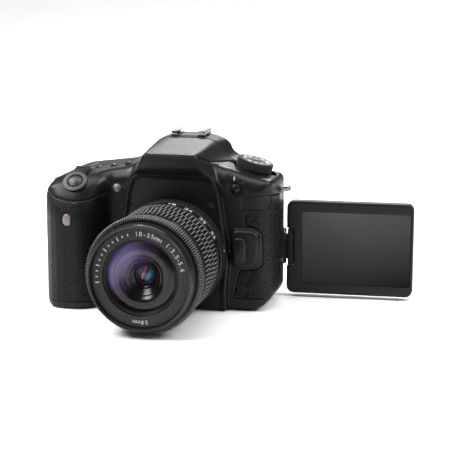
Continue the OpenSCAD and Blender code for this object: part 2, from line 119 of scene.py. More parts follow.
def node(tree, kind, values, **settings):
    """A new shader node. Each of values is an input's number or colour, or the output to link to it."""
    made = tree.nodes.new("ShaderNode" + kind)
    for key, value in settings.items():
        setattr(made, key, value)
    for key, value in values.items():
        if isinstance(value, bpy.types.NodeSocket):
            tree.links.new(value, made.inputs[key])
        else:
            made.inputs[key].default_value = value
    return made


def object_place(tree):
    return node(tree, "TexCoord", {}).outputs["Object"]


def map_range(tree, value, low, high, to_low=0.0, to_high=1.0):
    return node(tree, "MapRange", {"Value": value, "From Min": low, "From Max": high, "To Min": to_low,
                                   "To Max": to_high}).outputs["Result"]


def mix(tree, factor, a, b):
    return node(tree, "Mix", {"Factor": factor, "A": a, "B": b}, data_type="RGBA").outputs["Result"]


def opaque(colour, factor=1.0):
    return [c * factor for c in colour] + [1]


def colour_ramp(tree, place, stops):
    """The colours of the stops (place, colour), at a place from 0 to 1."""
    made = node(tree, "ValToRGB", {"Fac": place})
    e = made.color_ramp.elements
    e[0].position, e[0].color = stops[0][0], opaque(stops[0][1])
    e[1].position, e[1].color = stops[-1][0], opaque(stops[-1][1])
    for at, tone in stops[1:-1]:
        e.new(at).color = opaque(tone)
    return made.outputs["Color"]


def base_input(m):
    return m.node_tree.nodes["Principled BSDF"].inputs["Base Color"]


def material(name, base, rough, metal=0.0, grain=None, bump=None, vary=0.12, coat=0.0, edge_wear_and_highlight=0.0, spec=0.2,
             painted_hollow_shade=0.6):
    """A surface with its own colour variation, uneven gloss and relief.

    grain and bump are (kind, size in mm, depth in mm), and kind is noise, cells or brushed. vary is how far the
    colour wanders. The edge-lightening factor lightens raised edges: wear and a painted edge highlight. The
    hollow
    factor darkens the hollows of the relief: painted shade."""
    m = bpy.data.materials.new(name)
    m.use_nodes = True
    t = m.node_tree
    where = object_place(t)

    def noise(size, detail=3.0, stretch=None):
        source = node(t, "Mapping", {"Vector": where, "Scale": stretch}).outputs["Vector"] if stretch else where
        return node(t, "TexNoise", {"Scale": 1000.0 / size, "Detail": detail, "Vector": source}).outputs["Fac"]

    def cells(size):
        """Rounded cells with wavering walls."""
        waver = node(t, "TexNoise", {"Scale": 1000.0 / (size * 2), "Vector": where}).outputs["Color"]
        warp = node(t, "VectorMath", {0: waver, 1: (size * 0.0012,) * 3, 2: where}, operation="MULTIPLY_ADD")
        cell = node(t, "TexVoronoi", {"Scale": 1000.0 / size, "Smoothness": 0.35,
                                      "Vector": warp.outputs["Vector"]}, feature="SMOOTH_F1")
        return node(t, "Math", {0: 1.0, 1: cell.outputs["Distance"]}, operation="SUBTRACT").outputs["Value"]

    colour = mix(t, map_range(t, noise(9.0), 0.3, 0.7), opaque(base, 1 - vary), opaque(base, 1 + vary))
    normal = None
    for kind, size, depth in filter(None, (grain, bump)):
        if kind == "cells":
            height = cells(size)
        else:
            height = noise(size, 2.0, (0.08, 1, 1) if kind == "brushed" else None)
        relief = {"Strength": 1.0, "Distance": depth * MM, "Height": height}
        if normal:
            relief["Normal"] = normal
        normal = node(t, "Bump", relief).outputs["Normal"]
    p = t.nodes["Principled BSDF"]
    if normal:
        t.links.new(normal, p.inputs["Normal"])
        # The hollows of the relief are darker: painted shade.
        colour = mix(t, map_range(t, height, 0.3, 0.7), opaque(base, painted_hollow_shade), colour)
    # Raised edges are lighter: wear and a painted edge highlight.
    if edge_wear_and_highlight:
        edge = map_range(t, node(t, "NewGeometry", {}).outputs["Pointiness"], 0.52, 0.6)
        colour = mix(t, edge, colour, [min(c * (1 + edge_wear_and_highlight) + 0.01 * edge_wear_and_highlight, 1) for c in base] + [1])
    t.links.new(colour, p.inputs["Base Color"])
    t.links.new(map_range(t, noise(3.0), 0.3, 0.7, rough * 0.93, min(rough * 1.07, 1)), p.inputs["Roughness"])
    p.inputs["Metallic"].default_value = metal
    p.inputs["Coat Weight"].default_value = coat
    p.inputs["Coat Roughness"].default_value = 0.08
    p.inputs["Specular IOR Level"].default_value = spec
    return m


# Each look is its colour, its roughness and the rest of what material takes.
LOOKS = {
    "shell": ((0.008, 0.0083, 0.0095), 0.35, dict(grain=("noise", 0.28, 0.012), edge_wear_and_highlight=0.5)),
    "hood": ((0.009, 0.0095, 0.0108), 0.42, dict(grain=("noise", 0.28, 0.010), edge_wear_and_highlight=0.5, vary=0.05)),
    # The leather and pebble looks paint strong shade in the cell hollows, so the cell tops read lighter.
    "leather": ((0.006, 0.006, 0.0065), 0.42,
                dict(grain=("noise", 0.35, 0.02), bump=("cells", 0.95, 0.28), painted_hollow_shade=0.2, vary=0.05)),
    "pebble": ((0.0065, 0.0065, 0.007), 0.36,
               dict(grain=("noise", 0.35, 0.02), bump=("cells", 1.3, 0.5), painted_hollow_shade=0.2, vary=0.05)),
    "gloss": ((0.008, 0.008, 0.009), 0.16, dict(bump=("noise", 2.5, 0.004), coat=0.3)),
    "button": ((0.008, 0.008, 0.009), 0.28, dict(grain=("noise", 0.3, 0.008), edge_wear_and_highlight=0.6)),
    "dark_metal": ((0.055, 0.055, 0.06), 0.36, dict(metal=0.5, grain=("noise", 0.2, 0.004))),
    "bezel": ((0.045, 0.045, 0.05), 0.34, dict(metal=0.3, grain=("noise", 0.2, 0.006))),
    "steel": ((0.30, 0.30, 0.31), 0.38, dict(metal=1.0, bump=("brushed", 0.3, 0.008), edge_wear_and_highlight=0.2)),
    "chrome": ((0.30, 0.30, 0.31), 0.2, dict(metal=1.0, bump=("noise", 1.2, 0.01))),
    "dial": ((0.014, 0.014, 0.0155), 0.34, dict(grain=("noise", 0.25, 0.01), edge_wear_and_highlight=0.9)),
    "lens_plastic": ((0.007, 0.007, 0.0078), 0.34, dict(grain=("noise", 0.25, 0.008), edge_wear_and_highlight=0.4)),
    "lens_satin": ((0.03, 0.03, 0.033), 0.45, dict(grain=("noise", 0.3, 0.012))),
    "display_top": ((0.012, 0.013, 0.013), 0.5, dict(bump=("noise", 4.0, 0.004), spec=0.1)),
    "ink": ((0.66, 0.66, 0.65), 0.6, dict(grain=("noise", 0.3, 0.006))),
    "red": ((0.5, 0.02, 0.015), 0.4, dict(grain=("noise", 0.3, 0.006))),
    "circuit": ((0.02, 0.10, 0.05), 0.4, dict(bump=("cells", 2.2, 0.08), vary=0.3)),
    "case": ((0.03, 0.03, 0.033), 0.45, dict(grain=("noise", 0.3, 0.02))),
    "mirror": ((0.83, 0.85, 0.88), 0.04, dict(metal=1.0, bump=("noise", 9.0, 0.002), vary=0.02)),
    "diffuser": ((0.72, 0.74, 0.76), 0.22, dict(bump=("noise", 1.0, 0.02), vary=0.05, coat=0.4)),
    "window": ((0.22, 0.18, 0.165), 0.16, dict(bump=("noise", 2.0, 0.004), coat=0.8)),
    "optics": ((0.30, 0.36, 0.38), 0.06, dict(bump=("noise", 3.0, 0.003), vary=0.05)),
}
M = {name: material(name, base, rough, **more) for name, (base, rough, more) in LOOKS.items()}


def rib_material(name, base, light, frame_of, kind, count, row=0.0):
    """Lighter lines on the rib and ridge tops round a turned part: painted highlight and wear. frame_of is its
    middle, two directions across it and its axis; kind is bricks, ribs or knurl."""
    m = material(name, base, 0.4, grain=("noise", 0.3, 0.014))
    t = m.node_tree
    where = object_place(t)

    def maths(operation, a, b=0.0, c=0.0):
        return node(t, "Math", {0: a, 1: b, 2: c}, operation=operation).outputs["Value"]

    def along(direction):
        reach = node(t, "VectorMath", {0: where, 1: [float(v) for v in direction]}, operation="DOT_PRODUCT")
        return maths("SUBTRACT", reach.outputs["Value"], float(np.dot(frame_of[0], direction)) * MM)

    u, v, w = (along(d) for d in frame_of[1:])
    turn = maths("ARCTAN2", v, u)
    if kind == "bricks":
        start = maths("SUBTRACT", w, RIB_START * MM)
        line = maths("MODULO", maths("FLOOR", maths("DIVIDE", start, row * MM)), 2.0)
        phase = maths("MULTIPLY_ADD", maths("SUBTRACT", 1.0, line), math.pi,
                      maths("MULTIPLY", turn, float(count)))
        inside = maths("MULTIPLY", maths("GREATER_THAN", start, 0.0),
                       maths("LESS_THAN", start, (RIB_END - RIB_START) * MM))
        edge = maths("MULTIPLY", maths("MULTIPLY_ADD", maths("COSINE", phase), 4.0, -2.9), inside)
    elif kind == "ribs":
        edge = maths("MULTIPLY_ADD", maths("COSINE", maths("MULTIPLY", turn, float(count))), 1.4, -0.4)
    else:
        half = maths("MULTIPLY", turn, count / 2)
        climb = maths("MULTIPLY", maths("SUBTRACT", w, 1.5 * MM), row / (5 * MM))
        one = maths("ABSOLUTE", maths("SINE", maths("ADD", half, climb)))
        two = maths("ABSOLUTE", maths("SINE", maths("SUBTRACT", half, climb)))
        away = maths("SQRT", maths("ADD", maths("MULTIPLY", u, u), maths("MULTIPLY", v, v)))
        edge = maths("MULTIPLY", maths("MULTIPLY_ADD", maths("MAXIMUM", one, two), -2.6, 2.0),
                     maths("GREATER_THAN", away, 10.6 * MM))
    old = base_input(m).links[0].from_socket
    # Lighter lines on the rib tops: painted highlight and wear.
    t.links.new(mix(t, map_range(t, edge, 0.0, 1.0), old, opaque(light)), base_input(m))
    return m


def screen_material():
    """Dark glass that is lighter towards its top and its hinge side: a painted reflection."""
    m = material("display", (0.05, 0.053, 0.058), 0.25, bump=("noise", 8.0, 0.002), vary=0.03, spec=0.02)
    t = m.node_tree
    split = node(t, "SeparateXYZ", {0: object_place(t)}).outputs
    climb = map_range(t, split["Z"], 0.004, 0.062)
    across = map_range(t, split["X"], 0.145, 0.065)
    both = node(t, "Math", {0: across, 1: 0.45, 2: climb}, operation="MULTIPLY_ADD").outputs["Value"]
    place = node(t, "Math", {0: both, 1: 0.72}, operation="MULTIPLY").outputs["Value"]
    # The ramp from near black to grey is a painted reflection.
    stops = [(0.05, (0.002, 0.0022, 0.0026)), (1.0, (0.085, 0.088, 0.093))]
    t.links.new(colour_ramp(t, place, stops), base_input(m))
    return m


def painted_reflection_material(name, tilt, shift, stops, rough):
    """Coated glass with painted reflections. Its colour changes from side to side, through the stops (place,
    colour), which paint the tinted reflections and glints of the lamps in its coatings.
    """
    m = material(name, (0.05, 0.04, 0.08), rough, bump=("noise", 9.0, 0.002), vary=0.2, coat=0.04, spec=0.28)
    t = m.node_tree
    where = object_place(t)
    lean = node(t, "VectorMath", {0: where, 1: (tilt[0], 0.0, tilt[1])}, operation="DOT_PRODUCT")
    grain = node(t, "TexNoise", {"Scale": 70.0, "Vector": where})
    uneven = node(t, "Math", {0: grain.outputs["Fac"], 1: 0.14, 2: lean.outputs["Value"]},
                  operation="MULTIPLY_ADD")
    place = node(t, "Math", {0: uneven.outputs["Value"], 1: shift - AXIS_Z * MM * tilt[1]}, operation="ADD")
    t.links.new(colour_ramp(t, place.outputs["Value"], stops), base_input(m))
    return m


M["display"] = screen_material()
LENS_FRAME = ((0, FLANGE, AXIS_Z), RIGHTWARD, UP, FORWARD)
# The zoom and focus rings' lighter rib lines are painted highlight and wear.
M["lens_rubber"] = rib_material("lens_rubber", (0.005, 0.005, 0.006), (0.24, 0.24, 0.245), LENS_FRAME, "bricks",
                                RIB_COUNT, RIB_ROW)
M["focus_rubber"] = rib_material("focus_rubber", (0.005, 0.005, 0.006), (0.2, 0.2, 0.205), LENS_FRAME, "ribs",
                                 FOCUS_RIBS)
# The front glass ramp paints violet and dark tinted reflections across it.
M["coated"] = painted_reflection_material("coated", (-16, 12), 0.36, [
    (0.0, (0.02, 0.022, 0.013)), (0.12, (0.006, 0.006, 0.005)), (0.42, (0.006, 0.004, 0.005)),
    (0.6, (0.035, 0.022, 0.052)), (0.76, (0.13, 0.10, 0.23)), (0.87, (0.06, 0.05, 0.13)),
    (1.0, (0.03, 0.013, 0.017))], 0.2)
# The small glass ramp paints teal, pink and blue glints: painted reflections.
M["deep"] = painted_reflection_material("deep", (-90, 40), 0.42, [
    (0.0, (0.01, 0.04, 0.06)), (0.3, (0.03, 0.15, 0.26)), (0.45, (0.01, 0.012, 0.03)),
    (0.6, (0.42, 0.10, 0.16)), (0.72, (0.02, 0.02, 0.05)), (0.9, (0.12, 0.24, 0.42)),
    (1.0, (0.02, 0.02, 0.05))], 0.06)


# ---------- Meshes ----------

def mesh(name, points, faces, mat, body, replaces=(), smooth=True, normals=None):
    """An object from points in millimetres. It rides on body and stands for the CAD nodes in replaces."""
    data = bpy.data.meshes.new(name)
    data.from_pydata((np.asarray(points, float) * MM).tolist(), [], faces)
    data.polygons.foreach_set("use_smooth", [smooth] * len(data.polygons))
    data.materials.append(M[mat])
    obj = put(name, data)
    if normals is not None:
        data.normals_split_custom_set_from_vertices(normals)
    elif smooth:
        data.set_sharp_from_angle(angle=math.radians(38))
    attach(obj, body)
    if replaces:
        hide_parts(*replaces)
    return obj


def outline(corners, steps=5):
    """The points of a closed outline through corners (x, y, radius)."""
    out = []
    count = len(corners)
    for i in range(count):
        a = np.array(corners[i - 1][:2], float)
        b = np.array(corners[i][:2], float)
        c = np.array(corners[(i + 1) % count][:2], float)
        u, v = a - b, c - b
        u, v = u / np.linalg.norm(u), v / np.linalg.norm(v)
        half = math.acos(max(-1, min(1, float(u @ v)))) / 2
        r = corners[i][2]
        middle = b + (u + v) / np.linalg.norm(u + v) * r / math.sin(half)
        start = b + u * r / math.tan(half) - middle
        end = b + v * r / math.tan(half) - middle
        first = math.atan2(start[1], start[0])
        turn = (math.atan2(end[1], end[0]) - first + 3 * math.pi) % (2 * math.pi) - math.pi
        for k in range(steps + 1):
            angle = first + turn * k / steps
            out.append((middle[0] + r * math.cos(angle), middle[1] + r * math.sin(angle)))
    return out


def distance_2d(u, v, points):
    """Signed distance from each place to a closed outline, below 0 inside it."""
    best = np.full(np.broadcast(u, v).shape, 1e9, np.float32)
    inside = np.zeros(best.shape, bool)
    for i in range(len(points)):
        (ax, ay), (bx, by) = points[i - 1], points[i]
        ex, ey = bx - ax, by - ay
        if abs(ex) + abs(ey) < 1e-7:
            continue
        wx, wy = u - ax, v - ay
        t = np.clip((wx * ex + wy * ey) / (ex * ex + ey * ey), 0, 1)
        best = np.minimum(best, (wx - ex * t) ** 2 + (wy - ey * t) ** 2)
        if ay != by:
            inside ^= ((ay > v) != (by > v)) & (u < ex * (v - ay) / (by - ay) + ax)
    best = np.sqrt(best)
    return np.where(inside, -best, best).astype(np.float32)


def join(a, b, k=0.6):
    """Both shapes, with a fillet about k wide between them."""
    h = np.maximum(k - np.abs(a - b), 0) / k
    return np.minimum(a, b) - h * h * k * 0.25


def meet(a, b, k=0.6):
    """Where both shapes are, with the edge between them eased by k."""
    return -join(-a, -b, k)


def cut(a, b, k=0.6):
    """Shape a without shape b, with the edge of the cut eased by k."""
    return -join(-a, b, k)


def all_of(*fields):
    """Where all the shapes are, with sharp edges."""
    return reduce(np.maximum, fields)


def edged(a, b, r):
    """Where a and b meet, the edge has radius r."""
    beyond = np.sqrt(np.maximum(a + r, 0) ** 2 + np.maximum(b + r, 0) ** 2)
    return np.minimum(np.maximum(a, b) + r, 0) + beyond - r


def ramp(value, low, high):
    """From 0 at low to 1 at high, with soft ends."""
    t = np.clip((value - low) / (high - low), 0, 1)
    return t * t * (3 - 2 * t)


class Grid:
    """A block of space, for shapes that are written as distances."""

    def __init__(self, low, high, step):
        self.low, self.step = np.array(low, float), step
        ax = [np.arange(a, b + step, step, dtype=np.float32) for a, b in zip(low, high)]
        self.x, self.y, self.z = ax[0][:, None, None], ax[1][None, :, None], ax[2][None, None, :]

    def xy(self, corners):
        return distance_2d(self.x, self.y, outline(corners))

    def xz(self, corners):
        return distance_2d(self.x, self.z, outline(corners))

    def box(self, low, high, r=0.3):
        """A box with edges of radius r."""
        q = [np.abs(v - (a + b) / 2) - (b - a) / 2 + r
             for v, a, b in zip((self.x, self.y, self.z), low, high)]
        far = np.sqrt(sum(np.maximum(v, 0) ** 2 for v in q)) - r
        return far + np.minimum(np.maximum(np.maximum(q[0], q[1]), q[2]), 0)

    def rod(self, at, axis, r, low, high, edge=0.3):
        """A cylinder from low to high along axis, measured from at."""
        n = np.array(axis, float) / np.linalg.norm(axis)
        dx, dy, dz = self.x - at[0], self.y - at[1], self.z - at[2]
        along = dx * n[0] + dy * n[1] + dz * n[2]
        away = np.sqrt(np.maximum(dx * dx + dy * dy + dz * dz - along * along, 0))
        return edged(away - r, np.abs(along - (low + high) / 2) - (high - low) / 2, edge)

    def piece(self, name, field, mat, body, replaces=(), at=None):
        """The surface where the field is 0, as an object."""
        shape = (self.x.size, self.y.size, self.z.size)
        field = np.broadcast_to(field, shape)
        solid = field < self.step * 0.9
        spans = []
        for i in range(3):
            hit = np.nonzero(solid.any(axis=tuple(j for j in range(3) if j != i)))[0]
            spans.append(slice(max(hit[0] - 3, 0), min(hit[-1] + 4, shape[i])))
        reach = 3 * self.step
        block = np.ascontiguousarray(np.clip(field[spans[0], spans[1], spans[2]], -reach, reach))
        vdb = openvdb.FloatGrid(reach)
        vdb.copyFromArray(block)
        points, tris, quads = vdb.convertToPolygons(isovalue=0.0, adaptivity=0.0)
        points = np.asarray(points, float)
        start = np.array([s.start for s in spans])
        # Smooth normals from the field itself.
        cell = np.clip(points, 0, np.array(block.shape) - 1.001)
        base = cell.astype(int)
        frac = cell - base
        normal = np.zeros_like(points)
        for axis, slope in enumerate(np.gradient(block)):
            for corner in range(8):
                off = np.array([corner & 1, corner >> 1 & 1, corner >> 2 & 1])
                weight = np.prod(np.where(off, frac, 1 - frac), axis=1)
                i = base + off
                normal[:, axis] += weight * slope[i[:, 0], i[:, 1], i[:, 2]]
        normal /= np.linalg.norm(normal, axis=1)[:, None] + 1e-9
        places = self.low + (points + start) * self.step
        faces = [list(map(int, f)) for f in quads] + [list(map(int, f)) for f in tris]
        a, b, c = (places[quads[:, i]] for i in range(3))
        facing = np.einsum("ij,ij->i", np.cross(b - a, c - a), normal[quads[:, 0]]).sum()
        if facing < 0:
            faces = [f[::-1] for f in faces]
        if at is not None:
            turn, shift = at
            places = places @ turn.T + shift
            normal = normal @ turn.T
        return mesh(name, places, faces, mat, body, replaces, normals=normal)


def basis(axis):
    """Three directions, the last along axis."""
    w = np.array(axis, float) / np.linalg.norm(axis)
    u = np.cross(UP, w)
    if np.linalg.norm(u) < 1e-6:
        u = np.array((1.0, 0, 0))
    u /= np.linalg.norm(u)
    return u, np.cross(w, u), w


def tube_faces(rows, n, closed=False):
    """The faces between rows of n points, with a face over each end unless the last row joins the first."""
    faces = []
    for i in range(rows if closed else rows - 1):
        j = (i + 1) % rows
        for k in range(n):
            m = (k + 1) % n
            faces.append([i * n + k, i * n + m, j * n + m, j * n + k])
    if not closed:
        faces.append(list(range(n))[::-1])
        faces.append([(rows - 1) * n + k for k in range(n)])
    return faces


def lathe(name, profile, at, axis, mat, body, replaces=(), n=64, shape=None, closed=False):
    """Turns the profile [(radius, height)] round axis. shape(angle, radius, height) gives the final radius."""
    u, v, w = basis(axis)
    rows = len(profile)
    angle = np.arange(n) * 2 * math.pi / n
    points = []
    for r, h in profile:
        rr = np.full(n, float(r)) if shape is None else shape(angle, r, h)
        spoke = np.cos(angle)[:, None] * u + np.sin(angle)[:, None] * v
        points.append(np.array(at) + rr[:, None] * spoke + h * w)
    points = np.concatenate(points)
    return mesh(name, points, tube_faces(rows, n, closed), mat, body, replaces)


def prism(name, corners, low, high, at, axes, mat, body, replaces=(), edge=0.4):
    """An outline pushed from low to high, with rounded edges. axes are its two directions and its way out."""
    ring = np.array(outline(corners, 7))
    ring = ring[np.linalg.norm(ring - np.roll(ring, 1, axis=0), axis=1) > 1e-5]
    area = np.sum(ring[:, 0] * np.roll(ring[:, 1], -1) - ring[:, 1] * np.roll(ring[:, 0], -1))
    if area < 0:
        ring = ring[::-1]
    tangent = np.roll(ring, -1, axis=0) - np.roll(ring, 1, axis=0)
    tangent /= np.linalg.norm(tangent, axis=1)[:, None]
    inward = np.stack([-tangent[:, 1], tangent[:, 0]], axis=1)
    layers = [(low, edge * 0.6), (low + edge * 0.6, 0)]
    layers += [(high - edge * (1 - math.sin(a)), edge * (1 - math.cos(a)))
               for a in (0, 0.4, 0.8, 1.2, math.pi / 2)]
    u, v, w = (np.array(a, float) for a in axes)
    points = np.concatenate([np.array(at) + (ring + inward * i) @ np.array([u, v]) + h * w
                             for h, i in layers])
    faces = tube_faces(len(layers), len(ring))
    if np.dot(np.cross(u, v), w) < 0:
        faces = [f[::-1] for f in faces]
    return mesh(name, points, faces, mat, body, replaces)


def glyphs(text, size):
    """The flat shapes of a text, as points and faces, centred."""
    data = bpy.data.curves.new("glyph", "FONT")
    data.body = text
    data.size = size
    data.align_x = "CENTER"
    data.align_y = "CENTER"
    data.resolution_u = 3
    obj = put("glyph", data)
    bpy.context.view_layer.update()
    flat = obj.evaluated_get(bpy.context.evaluated_depsgraph_get()).to_mesh()
    points = np.array([v.co[:2] for v in flat.vertices]).reshape(-1, 2)
    faces = [list(f.vertices) for f in flat.polygons]
    bpy.data.objects.remove(obj)
    bpy.data.curves.remove(data)
    return points, faces


def marks(name, entries, mat, body):
    """Thin ink shapes: entries of (flat points, faces, placing function)."""
    points, faces = [], []
    for flat, polys, place in entries:
        base = len(points)
        points.extend(place(p) for p in flat)
        faces.extend([i + base for i in f] for f in polys)
    return mesh(name, points, faces, mat, body, smooth=False)


def bar(w, h):
    return [(-w / 2, -h / 2), (w / 2, -h / 2), (w / 2, h / 2), (-w / 2, h / 2)], [[0, 1, 2, 3]]


def dot(r, n=14):
    angles = [2 * math.pi * i / n for i in range(n)]
    return [(r * math.cos(a), r * math.sin(a)) for a in angles], [list(range(n))]


# ---------- The body ----------

step = 0.5
g = Grid((-82, -57, -3), (66, 23, 104.5), step)
x, y, z = g.x, g.y, g.z
PLAN = [(LEFT, BACK, 9), (LEFT, -53, 14), (-50, -53, 13), (-41, -33, 5), (58, -32, 9), (RIGHT, -14, 9),
        (RIGHT - 0.9, 3, 4), (57.4, 10.8, 0.6), (50, 10.9, 1), (49, BACK, 1.5)]
FRONT = [(LEFT, 0, 8), (RIGHT, 0, 17), (RIGHT, 75, 6), (60, 80, 5), (46, 83, 6), (33, 87, 4), (-30, 85.7, 6),
         (-66, 81.0, 12), (LEFT, 77.6, 10)]
ARCH_SIDE = [(34.4, -4, 2), (33.5, 12, 20), (35.2, 31.7, 30), (32.4, 50.1, 30), (29.3, 71.4, 12),
             (26.4, 80.6, 5), (19.5, 85.8, 4)]
ARCH = [(-a, b, r) for a, b, r in ARCH_SIDE] + ARCH_SIDE[::-1]
plan, front = g.xy(PLAN), g.xz(FRONT)
ends = ramp(np.minimum(x - LEFT, RIGHT - x), 0.5, 11)
round_r = (2.5 + 6.0 * ramp(z, 58, 74)) * ends * ramp(np.minimum(y + 60, 12 - y), -6, 3) + 0.3
core = edged(plan, front, round_r)
slope = (y + 53.4) * -0.743 + (z - 66.6) * 0.669
core = meet(core, join(slope, -37 - x, 5), 9)
arch = g.xz(ARCH)
lip = -36.6 + 0.8 * ramp(-arch, 1.2, 4.2) - y
face = all_of(edged(arch, lip, 1.6), y + 20, -z + 0.4)
face = edged(face, 0.5 - z, 1.2)

wide = np.abs(x)
t = np.clip(y + 43, 0, 43)
roof = z - (96.3 + t * 0.1186) + t * (0.45 / 43 / 22) * np.maximum(wide - 8, 0) ** 2
side = (wide - 16.3 - (y + 43) * 0.0698 - 0.69 * (96 + (y + 43) * 0.0604 - z)) * 0.823
cheek = (wide - 15.9) * 0.838 - (y + 43) * 0.419 + (z - 96) * 0.351
plate = (-43.2 + (96 - z) * 0.109 - y) * 0.994
brow = (86.8 - (y + 42) * 0.945 - z) * 0.727
rear = y - 17.1 - 2.6 * ramp(z, 92, 95)
hump = edged(edged(edged(side, cheek, 1.2), plate, 1.2), roof, 1.4)
hump = edged(edged(hump, brow, 1.0), rear, 1.0)
whole = join(core, face, 0.9)
whole = join(whole, hump, 1.2 + 6.5 * ramp(y, -35, -25))

# The release button's bulge.
bulge = g.xz([(36.2, 27.9, 3), (52.3, 27.9, 6), (54.3, 50.7, 6), (37.0, 50.7, 3)])
bulge = edged(edged(bulge, -36.4 - y, 2.0), y + 24, 0.3)
whole = join(whole, bulge, 1.6)

# A dished rest for the forefinger round the shutter button, and a round recess for the flash button.
lean = np.array((0, -math.sin(math.radians(42)), math.cos(math.radians(42))))
whole = cut(whole, g.rod(SHUTTER_AT, lean, 8.6, -1.3, 8, 1.2), 2.6)
whole = cut(whole, g.rod(FLASH_BUTTON_AT, FORWARD, 4.6, -1.2, 4, 0.6), 1.6)

# Where the covers part.
seam = np.interp(g.x.ravel(), [-80, -74.7, -68.4, -58.8, -49.2, -39.6, -33.2, -30.7, -28, 36, 41, 58, 62],
                 [72, 71, 68.4, 66.9, 68, 71.7, 72.8, 71.6, 70.6, 70.6, 71.1, 71.6, 71])[:, None, None]
back_w = ramp(y, -30, -12)
seam = (seam * (1 - back_w) + 70.05 * back_w).astype(np.float32)
below = z - seam
panel = all_of(arch, y + 30.9, -37.4 - y)
lower = np.minimum(below, panel)
shell_in = whole + 2.2
mount_hole = g.rod((0, -30, AXIS_Z), REARWARD, 30.0, -14, 9, 0.1)

# Rubber skins.
grip_zone = all_of(x + 28.5, y + 6.4, 5 - z, z - seam + 0.5, 0.1 - arch)
grip_zone = meet(grip_zone, -g.rod((SENSOR_X, -50, SENSOR_Z), REARWARD, 3.3, -12, 12, 0.1), 0.5)
SIDE = [(43.6, 61.5, 1.5), (45.3, 52.6, 2), (54.6, 51.4, 5), (55.4, 27, 5), (41, 25.3, 2.5), (37.2, 8, 2),
        (66, 8, 1), (66, 70.2, 1), (59.2, 70.2, 1.5), (57.4, 61.6, 1.5)]
side_zone = np.maximum(g.xz(SIDE), y + 24.2)
thumb_zone = g.box((-74.8, 12, 50.2), (-60.2, 25, 67.8), 2.5)
flap_zone = g.box((RIGHT - 8, -23.7, 12.3), (RIGHT + 4, 0.7, 61.7), 1.4)
card_zone = g.box((LEFT - 4, -4.2, 12.3), (LEFT + 6, 7.6, 59.7), 1.0)


def skin(zone, deep, proud=0.0):
    """A sheet on the body's surface within zone."""
    return edged(np.maximum(whole - proud, -whole - deep), zone, 0.35)


PLATE = [(42.6, 62.4, 1), (57.2, 62.4, 1), (57.6, 70.0, 1), (41.6, 70.0, 1)]
plate_zone = np.maximum(g.xz(PLATE), y + 24)
solid = np.maximum(whole, np.minimum(-plate_zone, whole + 0.45))
for zone, deep in ((grip_zone, 0.95), (side_zone, 0.95)):
    solid = np.maximum(solid, np.minimum(-zone - 0.04, whole + deep))
for zone, deep in ((flap_zone, 1.5), (card_zone, 1.5)):
    solid = np.maximum(solid, np.minimum(-zone + 0.25, whole + deep))

g.piece("grip_skin", skin(grip_zone, 0.9, 0.12), "leather", BODY, ["front_grip"])
g.piece("side_skin", skin(side_zone, 0.9, 0.12), "pebble", BODY, ["side_grip"])
g.piece("socket_flap", skin(flap_zone, 1.2), "pebble", "terminal_cover", ["terminal_cover"])
g.piece("card_lid", skin(card_zone, 1.3), "leather", "card_door", ["card_door"])

# Button holes.
tilt = math.radians(15)
dial_axis = np.array((math.sin(tilt), 0, math.cos(tilt)))
dial_at = np.array((43.8, -7, 83.0))
# Each button's place, way out, radius and length.
CAPS = {"shutter_button": (SHUTTER_AT, lean, 4.2, 4), "flash_button": (FLASH_BUTTON_AT, FORWARD, 2.9, 6),
        "preview_button": ((-33.5, -37.6, 8.5), FORWARD, 2.9, 6)}
for name, px, py, pz, r, long in (
        ("menu_button", 45, 18.5, 74, 3.2, 5), ("info_button", 35, 18.5, 74, 3.2, 5),
        ("start_button", -33, 19.7, 74.5, 3.2, 6.2), ("af_on_button", -47, 18.5, 75, 3.4, 5),
        ("exposure_lock_button", -58, 18.5, 74, 2.8, 5), ("af_point_button", -67.5, 18.5, 73.4, 2.8, 5),
        ("quick_button", -33, 18.5, 56, 3, 5), ("playback_button", -34, 18.5, 17, 3, 5),
        ("erase_button", -45, 18.5, 9.5, 3, 5)):
    CAPS[name] = ((px, py, pz), REARWARD, r, long)
TOP_ROW = (("af_button", -71, 78.4, 10), ("drive_button", -62.5, 80.4, 10), ("iso_button", -53, 82.2, 9),
           ("metering_button", -43.5, 83.8, 9), ("light_button", -34, 85.5, 9))
for name, px, pz, deg in TOP_ROW:
    CAPS[name] = ((px, -15, pz), (-math.sin(math.radians(deg)), 0, math.cos(math.radians(deg))), 2.2, 5)
for at, axis, r, long in CAPS.values():
    solid = cut(solid, g.rod(at, axis, r + 0.3, -long - 3, 4, 0.1), 0.5)

# Other openings.
solid = cut(solid, mount_hole, 0.3)
solid = cut(solid, g.box((-26.6, 11, -6), (72, 30, 62.4), 1.0), 0.6)
solid = cut(solid, g.box((-9.5, 4, 72.5), (9.5, 25, 86.5), 1.5), 0.5)
solid = cut(solid, g.rod((STICK_X, BACK, STICK_Z), REARWARD, 3.2, -6, 4, 0.1), 0.9)
solid = cut(solid, g.rod((QUICK_X, BACK, QUICK_Z), REARWARD, 7.8, -8, 4, 0.1), 0.4)
solid = cut(solid, g.rod((QUICK_X, BACK, QUICK_Z), REARWARD, 17.0, -0.6, 4, 0.2), 0.5)
solid = cut(solid, g.rod(DIOPTER_AT, REARWARD, 3.2, -6, 4, 0.1), 0.3)
solid = cut(solid, g.rod(MAIN_DIAL_AT, RIGHTWARD, 8.8, -5.0, 5.0, 0.5), 0.8)
solid = cut(solid, g.rod(dial_at, dial_axis, 11.9, -1.8, 16, 0.3), 1.0)
lever = np.maximum(g.rod(dial_at, dial_axis, 14.6, -1.8, 1.6, 0.2), dial_at[1] - 2 - y)
solid = cut(solid, lever, 0.5)
solid = cut(solid, g.box((-75, -47, -5), (-52.5, -6, 2.5), 0.3), 0.4)
solid = cut(solid, g.rod((0, 0, 0), UP, 7.0, -4, 5, 0.1), 0.3)
